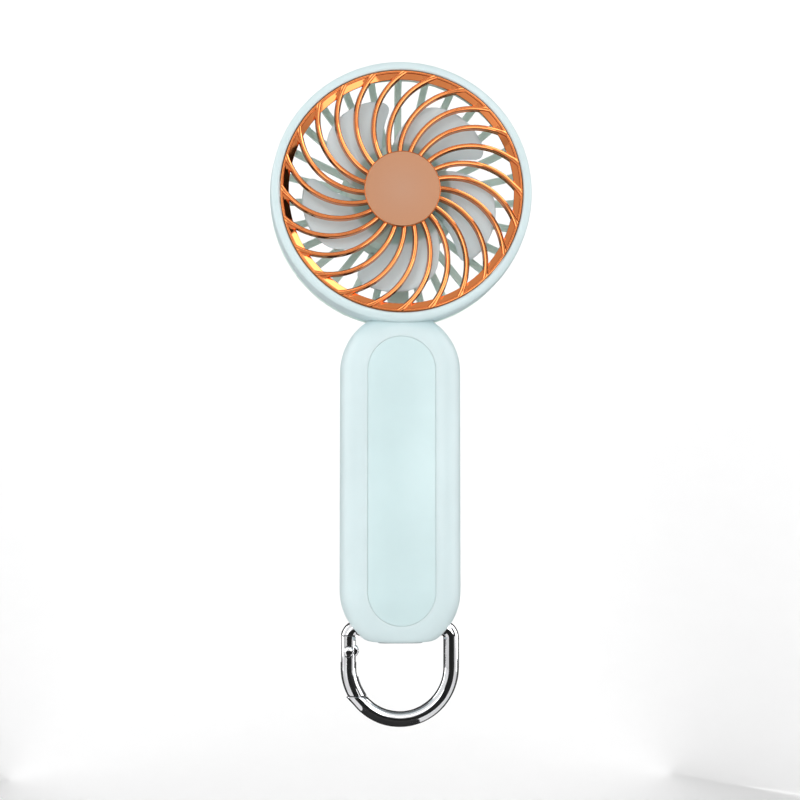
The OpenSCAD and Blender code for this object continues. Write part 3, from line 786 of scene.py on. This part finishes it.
def blade_solid(bm, turn):
    """One broad blade on a helical surface, thickest in the middle, with a rounded tip."""
    root, tip_len = HUB_R - 1.2 * MM, 6 * MM
    body_r = TIP_R - tip_len
    across, rows_in, rows_out = 18, 14, 12
    rows = [(root + (body_r - root) * i / rows_in, 0) for i in range(rows_in + 1)]
    rows += [(body_r + tip_len * sin(t), sin(t)) for t in quarter_turn(rows_out, 1)]
    rings = []
    for r, t in rows:
        ease = max(1 - t ** 2.6, 0.0004) ** 0.42
        mid = radians((TIP_R - r) / MM * 1.5)
        half = radians(25 + (TIP_R - r) / MM * 0.3) * ease
        ring = []
        for side in (1, -1):
            for k in range(across):
                v = -cos(pi * k / across) * side
                a = mid + half * v + turn
                lift = 2.55 * MM * (v * ease) + 0.5 * MM * (1 - v * v)
                thick = (0.12 + 0.42 * sqrt(max(0, 1 - v * v))) * MM * (0.55 + 0.45 * ease) * side
                ring.append(spot(r, a, BLADE_F + lift + thick))
        rings.append(ring)
    skin(bm, rings)


def propeller_solid(bm):
    """The blades around a hub cup with a boss for the motor's shaft."""
    for i in range(BLADES):
        blade_solid(bm, BLADE_TURN + TURN * i / BLADES)
    low, high = BLADE_F - 2.7 * MM, BLADE_F + 4.2 * MM
    bore_r, boss_r, cup_r, ceiling = 1.0 * MM, 2.8 * MM, HUB_R - 1.6 * MM, high - 1.4 * MM
    hub = [(bore_r, low, 0), (boss_r, low, 0.2 * MM), (boss_r, ceiling, 0), (cup_r, ceiling, 0.8 * MM),
           (cup_r, low, 0.2 * MM), (HUB_R, low, 0.2 * MM), (HUB_R, high, 1.2 * MM), (0, high, 0),
           (0, high - 1.3 * MM, 0), (bore_r, high - 1.3 * MM, 0)]
    lathe(bm, rounded(hub), segments=96)


# ---- Rear grille ----

def bowl_path(depth):
    """The bowl's half section from the hub out and around the corner, at a depth under the skin."""
    corner_r, corner_f, radius = HEAD_R - BACK_ROUND, BACK_F + BACK_ROUND, BACK_ROUND - depth
    path = [(HUB_RING_R - 0.7 * MM + (corner_r - HUB_RING_R) * i / 6, BACK_F + depth) for i in range(6)]
    path += [(corner_r + radius * sin(t), corner_f - radius * cos(t)) for t in quarter_turn(14)]
    return path


def spoke_solid(bm, angle, width):
    """A straight spoke that follows the bowl, with rounded edges."""
    half, skin_depth, edge = width / 2, 2 * MM, 0.45 * MM
    along = Vector((cos(angle), sin(angle)))
    side = Vector((-along.y, along.x))
    section = [(-half + edge, 0), (-half + edge * 0.3, edge * 0.3), (-half, edge),
               (-half, skin_depth - edge), (-half + edge * 0.3, skin_depth - edge * 0.3),
               (-half + edge, skin_depth)]
    section += [(-a, d) for a, d in section[::-1]]
    paths = {d: bowl_path(d) for _, d in section}
    rings = []
    for i in range(len(paths[0])):
        ring = []
        for across, depth in section:
            r, f = paths[depth][i]
            r = min(r, sqrt((HEAD_R - depth) ** 2 - across ** 2))
            p = along * r + side * across
            ring.append(Vector((p.x, -f, HEAD_Z + p.y)))
        rings.append(ring)
    skin(bm, rings)


def rear_grille_solid(bm):
    """The spokes, the rim that seats in the casing, the motor pot and the wiring channel."""
    down = -pi / 2
    for i in range(1, SPOKES):
        spoke_solid(bm, down + TURN * i / SPOKES, 2.4 * MM)
    spoke_solid(bm, down, 7 * MM)
    rim_r, rim_back = HEAD_R - 0.05 * MM, REAR_RING_F - 1.3 * MM
    seam_f, spigot_f = REAR_RING_F - 0.02 * MM, REAR_RING_F + 1 * MM
    spigot_r, bore_r = BORE_R - 0.1 * MM, BORE_R - 0.6 * MM
    rim = [(bore_r, rim_back, 0.2 * MM), (rim_r, rim_back, 0.25 * MM), (rim_r, seam_f, PARTING * 1.4),
           (spigot_r, seam_f, 0), (spigot_r, spigot_f, 0), (bore_r, spigot_f, 0)]
    lathe(bm, rounded(rim), segments=SMOOTH)
    inner_r, seat_r, shaft_r = POT_R - 1.6 * MM, POT_R - 0.05 * MM, 3.2 * MM
    pot = [(inner_r, BACK_F + 1.5 * MM, 0), (seat_r, BACK_F + 1.5 * MM, 0), (seat_r, BACK_F, 0.25 * MM),
           (HUB_RING_R, BACK_F, 0.5 * MM), (HUB_RING_R, BACK_F + 2 * MM, 0.3 * MM),
           (POT_R, BACK_F + 2 * MM, 0.3 * MM), (POT_R, POT_F, 0.6 * MM), (shaft_r, POT_F, 0.3 * MM),
           (shaft_r, POT_F - 1.5 * MM, 0), (inner_r, POT_F - 1.5 * MM, 0)]
    lathe(bm, rounded(pot))
    channel_solid(bm)


def channel_solid(bm):
    """The wiring channel's raised front, a trough from the pot out to the rim."""
    half, edge = 3.5 * MM, 0.6 * MM
    front, back = -8.6 * MM, BACK_F + 1.8 * MM
    outline = rounded([(-half, back, 0), (-half, front, edge), (half, front, edge), (half, back, 0)])
    inner_r, outer_r, steps = POT_R - 0.8 * MM, BORE_R - 0.9 * MM, 8
    rings = []
    for i in range(steps + 1):
        r = inner_r + (outer_r - inner_r) * i / steps
        past_corner = max(0, r - (HEAD_R - BACK_ROUND))
        limit = BACK_F + BACK_ROUND - sqrt(max((BACK_ROUND - 1 * MM) ** 2 - past_corner ** 2, 0))
        rings.append([Vector((p.x, -max(p.y, limit), HEAD_Z - r)) for p in outline])
    skin(bm, rings)


def hub_cover_solid(bm):
    """Disc that closes the motor pot, with a shallow dish and a fine edge."""
    r, back, dish_steps = POT_R - 0.2 * MM, BACK_F + 0.05 * MM, 6
    front, dish_r, dish_f = back + 1.4 * MM, r - 3 * MM, back + 0.28 * MM
    outline = [(0, front), (r, front), (r, back + 0.3 * MM), (r - 0.08 * MM, back + 0.08 * MM),
               (r - 0.3 * MM, back), (r - 2.2 * MM, back), (r - 2.6 * MM, back + 0.18 * MM),
               (dish_r, dish_f)]
    outline += [(dish_r * (1 - k / dish_steps), dish_f + 0.12 * MM * k / dish_steps)
                for k in range(1, dish_steps + 1)]
    lathe(bm, outline, segments=128)


# ---- Button and fasteners ----

BUTTON_F = -span("power_button", 1)[1]


def button_solid(bm):
    """Power button: a flange inside the casing, a round post and a slightly domed face."""
    flange_r, flange_f, face_f = BUTTON_R + 0.8 * MM, -8.9 * MM, BUTTON_F
    flange_back = flange_f - 0.6 * MM
    dome_r, dome_rise, steps = BUTTON_R - 0.7 * MM, 0.25 * MM, 8
    outline = [(0, flange_f), (flange_r, flange_f), (flange_r, flange_back), (BUTTON_R, flange_back),
               (BUTTON_R, face_f + 0.45 * MM), (BUTTON_R - 0.12 * MM, face_f + 0.14 * MM),
               (BUTTON_R - 0.4 * MM, face_f)]
    outline += [(dome_r * (1 - k / steps), face_f + dome_rise * sin(pi / 2 * k / steps))
                for k in range(steps + 1)]
    lathe(bm, outline, (0, BUTTON_Z), 96)


def screw_solid(bm):
    """Countersunk pan heads on plain shanks with a blunt point."""
    seat, head, length = -9.2 * MM, -10.5 * MM, 14 * MM
    shank_r, point_r, head_r = 1 * MM, 0.75 * MM, 1.9 * MM
    outline = [(0, seat + length), (point_r, seat + length), (shank_r, seat + length - 1 * MM),
               (shank_r, seat), (head_r, seat), (head_r, head + 0.5 * MM), (1.6 * MM, head + 0.12 * MM),
               (1.15 * MM, head), (0, head)]
    for post in POSTS:
        lathe(bm, outline, post, 40)


def cross_cutter(bm):
    """Cross-shaped recess over each screw head, as one twelve-sided prism."""
    arm, half = 1.05 * MM, 0.26 * MM
    quarter = [(arm, -half), (arm, half), (half, half)]
    for x, z in POSTS:
        cross = []
        for k in range(4):
            c, s = round(cos(TURN * k / 4)), round(sin(TURN * k / 4))
            cross += [(x + c * u - s * v, z + s * u + c * v) for u, v in quarter]
        prism(bm, cross, 9.8 * MM, 11 * MM)


# ---- Carabiner ----

BEND_R = 3.2 * MM
BEND_X = LEG_X - BEND_R
BEND_Z = BAR_Z - BEND_R
WIRE_SIDES = 40
SEAM = 0.3 * MM
# The black fillers in the gate's seams are painted shade for the gaps.
SEAM_SHADE_R = WIRE_R - 0.25 * MM
SEAM_SHADE_GAP = 0.1 * MM


def arc_points(x, z, r, start, end, steps):
    """Points (x, z) along an arc, its angles in degrees."""
    return [Vector((x + r * cos(a), z + r * sin(a)))
            for a in (radians(start + (end - start) * i / steps) for i in range(steps + 1))]


def wire(bm, path, levels=(None, None), radius=WIRE_R, mat=0):
    """Round wire along a path in the carabiner's plane, its ends cut level where asked."""
    def ring_at(i, r, level):
        """The section at a point of the path, cut at a level if one is given."""
        p = path[i]
        tangent = (path[min(i + 1, len(path) - 1)] - path[max(i - 1, 0)]).normalized()
        side = Vector((-tangent.y, tangent.x))
        ring = []
        for a in turn_angles(WIRE_SIDES):
            q = p + side * r * cos(a)
            if level is not None:
                q = q + tangent * ((level - q.y) / tangent.y)
            ring.append(Vector((q.x, r * sin(a), q.y)))
        return ring

    rings, bevel, last = [], 0.12 * MM, len(path) - 1
    for i in range(last + 1):
        if 0 < i < last:
            rings.append(ring_at(i, radius, None))
            continue
        level = levels[0] if i == 0 else levels[1]
        end = [ring_at(i, radius, level)]
        if level is not None:
            away = bevel if path[1 if i == 0 else last - 1].y > path[i].y else -bevel
            end = [ring_at(i, radius, level + away), ring_at(i, radius - bevel, level)]
        rings += end if i else end[::-1]
    skin(bm, rings, mat=mat)


def carabiner_solid(bm):
    """The frame's wire: two upper bends, the closed leg and the bow, up to the gate's free end."""
    path = arc_points(-BEND_X, BEND_Z, BEND_R, 180, 90, 10)
    path += arc_points(BEND_X, BEND_Z, BEND_R, 90, 0, 10)
    path += arc_points(0, BOW_Z, LEG_X, 0, -138.5, 60)
    wire(bm, path, (None, GATE_LOW - SEAM))


def stub_cutter(bm):
    """Cuts the frame's first bend level over the gate."""
    left, low, high = -30 * MM, -60 * MM, GATE_HIGH + SEAM
    prism(bm, [(left, low), (-BEND_X, low), (-BEND_X, high), (left, high)], -6 * MM, 6 * MM)


def seam_shade_fill(bm):
    """Black fillers on the frame that fill the seams at both ends of the gate: painted shade for the dark
    gaps there.
    """
    skin(bm, [[Vector((-LEG_X + SEAM_SHADE_R * cos(a), SEAM_SHADE_R * sin(a), z))
               for a in turn_angles(WIRE_SIDES)]
              for z in (GATE_HIGH + SEAM_SHADE_GAP, GATE_HIGH + SEAM + 0.5 * MM)], mat=1)
    wire(bm, arc_points(0, BOW_Z, LEG_X, -133, -139.5, 4), (None, GATE_LOW - SEAM_SHADE_GAP), SEAM_SHADE_R, mat=1)


def tongue_solid(bm):
    """Flat tongue of the frame that the gate's cheeks straddle."""
    r, top = 2.1 * MM, GATE_HIGH + 1.2 * MM
    outline = [(PIVOT_X - r, top), (PIVOT_X + r, top)] + arc_points(PIVOT_X, PIVOT_Z, r, 0, -180, 20)
    prism(bm, outline, -0.8 * MM, 0.8 * MM)


def gate_solid(bm):
    """The gate's wire: straight down from the pivot, then around the start of the bow."""
    path = [Vector((-LEG_X, GATE_HIGH + (BOW_Z - GATE_HIGH) * i / 8)) for i in range(8)]
    wire(bm, path + arc_points(0, BOW_Z, LEG_X, 180, 208.5, 14), (GATE_HIGH, GATE_LOW))


def gate_swing_room(bm):
    """What the inner corner of the gate's top loses so that it turns clear of the frame."""
    r, far = GATE_HIGH - PIVOT_Z + 0.01 * MM, 9 * MM
    outline = arc_points(PIVOT_X, PIVOT_Z, r, 90, 20, 14)
    outline += [(PIVOT_X + far, PIVOT_Z + 2 * MM), (PIVOT_X + far, PIVOT_Z + far), (PIVOT_X, PIVOT_Z + far)]
    prism(bm, outline, -4 * MM, 4 * MM)


def rivet_seat(bm):
    """The rivet's bore, with a round recess for its head on both faces of the gate."""
    half = [(0, 4 * MM), (2.0 * MM, 4 * MM), (2.0 * MM, 2.27 * MM), (1.27 * MM, 2.27 * MM)]
    outline = [(r, -f) for r, f in half] + half[::-1]
    lathe(bm, outline, (PIVOT_X, PIVOT_Z), 40)


def gate_slot(bm):
    """The slot between the gate's cheeks, where the frame's tongue sits."""
    left, right, low, high = -30 * MM, -12 * MM, PIVOT_Z - 3.4 * MM, -45 * MM
    prism(bm, [(left, low), (right, low), (right, high), (left, high)], -1 * MM, 1 * MM)


def boss_solid(bm):
    """Rounded swelling of the gate around its rivet, standing proud on the inner side."""
    r, half, edge = 2.1 * MM, 1.9 * MM, 0.8 * MM
    outline = rounded([(0, -half, 0), (r, -half, edge), (r, half, edge), (0, half, 0)])
    lathe(bm, outline, (-15.7 * MM, PIVOT_Z + 0.3 * MM), 40)


def catch_solid(bm):
    """Raised dark catch along the inner side of the gate's free end."""
    path = arc_points(0, BOW_Z, LEG_X - 1.35 * MM, 192, 210.5, 12)
    wire(bm, path, (None, GATE_LOW), 1.6 * MM, mat=1)


def rivet_solid(bm):
    """The gate's pin with a low domed head on both sides."""
    dome_f, seat, pin_r, head_r = span("gate_pin", 1)[1], 2.3 * MM, 1.2 * MM, 1.72 * MM
    edge = seat + 0.08 * MM
    outline = [(pin_r, 0), (pin_r, seat), (head_r, seat)]
    outline += [(head_r * cos(t), edge + (dome_f - edge) * sin(t)) for t in quarter_turn(6)]
    lathe(bm, [(r, -f) for r, f in outline[::-1]] + outline, (PIVOT_X, PIVOT_Z), 40)


def carabiner():
    """Frame, gate and rivet, the two wires with their catch and the black fillers of painted shade in the
    gate's seams.
    """
    looks = [M["chrome"], M["black"]]
    frame_wire, tongue = solid("carabiner_wire", carabiner_solid), solid("tongue", tongue_solid)
    seam_shade = solid("seam_shade", seam_shade_fill)
    combine(frame_wire, [solid("stub_cut", stub_cutter)], "DIFFERENCE")
    gate = solid("gate_wire", gate_solid)
    boss, catch = solid("boss", boss_solid), solid("catch", catch_solid)
    for part in (frame_wire, tongue, seam_shade, gate, boss, catch):
        dress(part, looks)
    combine(frame_wire, [tongue, seam_shade], "UNION")
    combine(gate, [boss, catch], "UNION")
    cutters = [solid("slot", gate_slot), solid("swing_room", gate_swing_room), solid("seat", rivet_seat)]
    combine(gate, cutters, "DIFFERENCE")
    place(frame_wire, "carabiner_wire", "carabiner", looks, ["carabiner_frame"])
    place(gate, "gate_wire", "gate", looks, ["carabiner_gate"])
    piece("gate_rivet", "carabiner", [M["chrome"]], rivet_solid, ["gate_pin"])


# ---- CAD nodes that keep their shape ----

KEPT = {
    "shaft": ["motor_shaft"], "winding": ["rotor_core"], "copper": ["commutator", "motor_brushes"],
    "steel": ["motor_can", "motor_screws", "usb_port_shell", "tact_switch", "board_screws", "gate_spring"],
    "black": ["motor_end_cap", "usb_port_tongue"], "magnet": ["motor_magnets"],
    "bronze": ["shaft_bushes"], "foil": ["battery_cell"], "foam": ["battery_pad"],
    "board": ["circuit_board"], "chip": ["circuit_chips"], "white": ["switch_plunger"],
    "led": ["indicator_leds"], "guide": ["light_guide"], "red_wire": ["motor_leads"],
    "black_wire": ["battery_leads"],
}


def dress_cad_nodes():
    """Materials and shading for the inner parts that stay as the CAD has them."""
    for material, nodes in KEPT.items():
        for data in (frame["nodes"][node].data for node in nodes):
            data.materials.clear()
            data.materials.append(M[material])
            data.shade_smooth()
            data.set_sharp_from_angle(angle=radians(30))


# ---- Stage ----

def sweep_backdrop():
    """A pale floor that curves up into a wall behind the object."""
    floor_z, back_y, bend = CAD_BOX[0][2] - 0.16, 1.1, 0.5
    profile = [(-2.5, floor_z), (back_y - bend, floor_z)]
    profile += [(back_y - bend + bend * sin(t), floor_z + bend - bend * cos(t))
                for t in quarter_turn(16, 1)]
    profile += [(back_y, 2.4)]
    bm = bmesh.new()
    skin(bm, [[Vector((x, y, z)) for y, z in profile] for x in (-2.6, 2.6)], around=False, caps=False)
    obj = add_mesh("backdrop", bm)
    obj.data.shade_smooth()
    paper = plastic("backdrop_paper", (0.93, 0.93, 0.93), rough=0.9, grain=300, vary=0.004)
    obj.data.materials.append(paper)


def point_at(obj, place_at, aim):
    """Stands a lamp or the camera at a place and turns it towards its aim."""
    obj.location = place_at
    obj.rotation_euler = (Vector(aim) - Vector(place_at)).to_track_quat("-Z", "Y").to_euler()


def softbox(name, place_at, aim, width, height, power):
    """A white rectangular lamp that the camera doesn't see."""
    light = bpy.data.lights.new(name, "AREA")
    light.shape = "RECTANGLE"
    light.size = width
    light.size_y = height
    light.energy = power
    obj = add_object(name, light)
    point_at(obj, place_at, aim)
    obj.visible_camera = False
    return obj


def around(azimuth, elevation, distance):
    """A point at degrees to the right of the front and degrees up."""
    a, e = radians(azimuth), radians(elevation)
    return Vector((distance * cos(e) * sin(a), -distance * cos(e) * cos(a),
                   0.03 + distance * sin(e)))


def card(name, rings, seen_by_gloss=True, around_shape=False):
    """Black cloth that the camera and shadows don't see: it only darkens reflections or soft fill."""
    bm = bmesh.new()
    skin(bm, rings, around=around_shape, caps=False)
    obj = add_mesh(name, bm)
    obj.data.materials.append(M["flag"])
    obj.visible_camera = False
    obj.visible_shadow = False
    obj.visible_transmission = False
    obj.visible_glossy = seen_by_gloss
    obj.visible_diffuse = not seen_by_gloss
    return obj


def upright(start, end, radius, low, high):
    """Rows of an upright curved card between two azimuths around the object."""
    return [[Vector((radius * sin(a), -radius * cos(a), z)) for z in (low, high)]
            for a in (radians(start + (end - start) * i / 24) for i in range(25))]


def cards():
    """The dark edges in the glossy parts, and less fill from the sides."""
    low_z = CAD_BOX[0][2] - 0.045
    card("near_card", [[Vector((x, -0.14, z)) for z in (-0.17, -0.038)] for x in (-0.09, 0.14)])
    card("side_card", upright(40, 64, 0.95, -0.05, 0.5))
    card("low_card", [[Vector((x, y, low_z)) for y in (-0.16, 0.14)] for x in (-0.05, 0.025)])
    hoop = [[Vector((r * cos(a), 0.5, 0.02 + r * sin(a))) for a in turn_angles(48)]
            for r in (0.04, 2.0)]
    card("rear_hoop", hoop, around_shape=True)
    card("low_rear_card", [[Vector((x, y, low_z)) for y in (0.02, 0.5)] for x in (-0.8, 0.8)])
    for side in (-1, 1):
        card("fill_card", upright(side * 64, side * 162, 0.8, -0.22, 0.5), seen_by_gloss=False)


def ring_light(name, centre, aim, inner, outer, strength):
    """A lit ring that only reflections see: it draws the fine bright lines on the ribs."""
    turn = (Vector(aim) - centre).to_track_quat("-Z", "Y")
    rings = [[centre + turn @ Vector((r * cos(a), r * sin(a), 0)) for a in turn_angles(64)]
             for r in (inner, outer)]
    obj = card(name, rings, around_shape=True)
    material, shader, point = blank(name)
    link(ramp(noise(point, 3, 2), 0.9, 1.0), shader.inputs["Emission Color"])
    tune(shader, {"Emission Strength": strength})
    obj.data.materials[0] = material


def world_light():
    """Even white surroundings, a little stronger in reflections than in the soft fill."""
    world = bpy.data.worlds.new("studio")
    bpy.context.scene.world = world
    world.use_nodes = True
    nodes = world.node_tree.nodes
    tune(nodes["Background"], {"Color": (1, 1, 1, 1)})
    path, level = nodes.new("ShaderNodeLightPath"), nodes.new("ShaderNodeMapRange")
    tune(level, {"To Min": 0.6, "To Max": 0.85})
    link(path.outputs["Is Glossy Ray"], level.inputs["Value"])
    link(level.outputs["Result"], nodes["Background"].inputs["Strength"])


def lights():
    """A broad key, three small lights and a ring for the highlights, and two on the wall behind."""
    world_light()
    aim = (0, 0, 0.03)
    head = (0, 0, HEAD_Z)
    softbox("key", around(-8, 13, 1.9), aim, 1.2, 1.0, 13.2).visible_glossy = False
    glints = [softbox("upper_glint", around(40, 37, 1.2), head, 0.45, 0.45, 2.3),
              softbox("low_glint", (0.087, -0.175, 0.012), head, 0.11, 0.08, 0.06),
              softbox("right_strip", around(78, 5, 1.1), aim, 0.12, 1.0, 1.1)]
    for glint in glints:
        glint.visible_diffuse = False
    ring_light("ring_light", around(3, 8, 1.2), head, 0.56, 0.86, 3.0)
    softbox("wall_left", (-1.3, 0.35, 0.4), (0.2, 1.1, 0.1), 0.8, 1.6, 12)
    softbox("wall_right", (1.3, 0.35, 0.4), (-0.2, 1.1, 0.1), 0.8, 1.6, 12)
    cards()


def camera():
    """The photo's view: a little from the left and from below."""
    distance, across, rise = 0.6, radians(-3.2), radians(-3.1)
    target = Vector((0.00005, 0, 0.02695))
    level = cos(rise)
    eye = target + distance * Vector((level * sin(across), -level * cos(across), sin(rise)))
    data = bpy.data.cameras.new("camera")
    data.lens = 81
    data.sensor_width = 36
    data.clip_start = 0.01
    obj = add_object("camera", data)
    point_at(obj, eye, target)
    bpy.context.scene.camera = obj
    bpy.context.scene.view_settings.view_transform = "Standard"


front_casing()
rear_casing()
piece("front_inlay", "case", [M["panel"]], panel_solid, ["front_panel"])
foot_insert_piece()
piece("swirl_grille", "case", [M["gold"]], front_grille_solid, ["front_grille"], sharp=50)
piece("centre_cap", "case", [M["cap"], M["gold"]], cap_solid, ["grille_cap"], sharp=24)
piece("spoked_back", "case", [M["grille_shell"]], rear_grille_solid, ["rear_grille"])
piece("pot_cover", "case", [M["grille_shell"]], hub_cover_solid, ["hub_cover"])
piece("blades", "rotor", [M["blade"]], propeller_solid, ["propeller"], sharp=60)
piece("button_cap", "button", [M["button"]], button_solid, ["power_button"])
screws = solid("casing_screws", screw_solid)
combine(screws, [solid("cross", cross_cutter)], "DIFFERENCE")
place(screws, "casing_screws", "case", [M["steel"]], ["housing_screws"])
carabiner()
dress_cad_nodes()
sweep_backdrop()
lights()
camera()
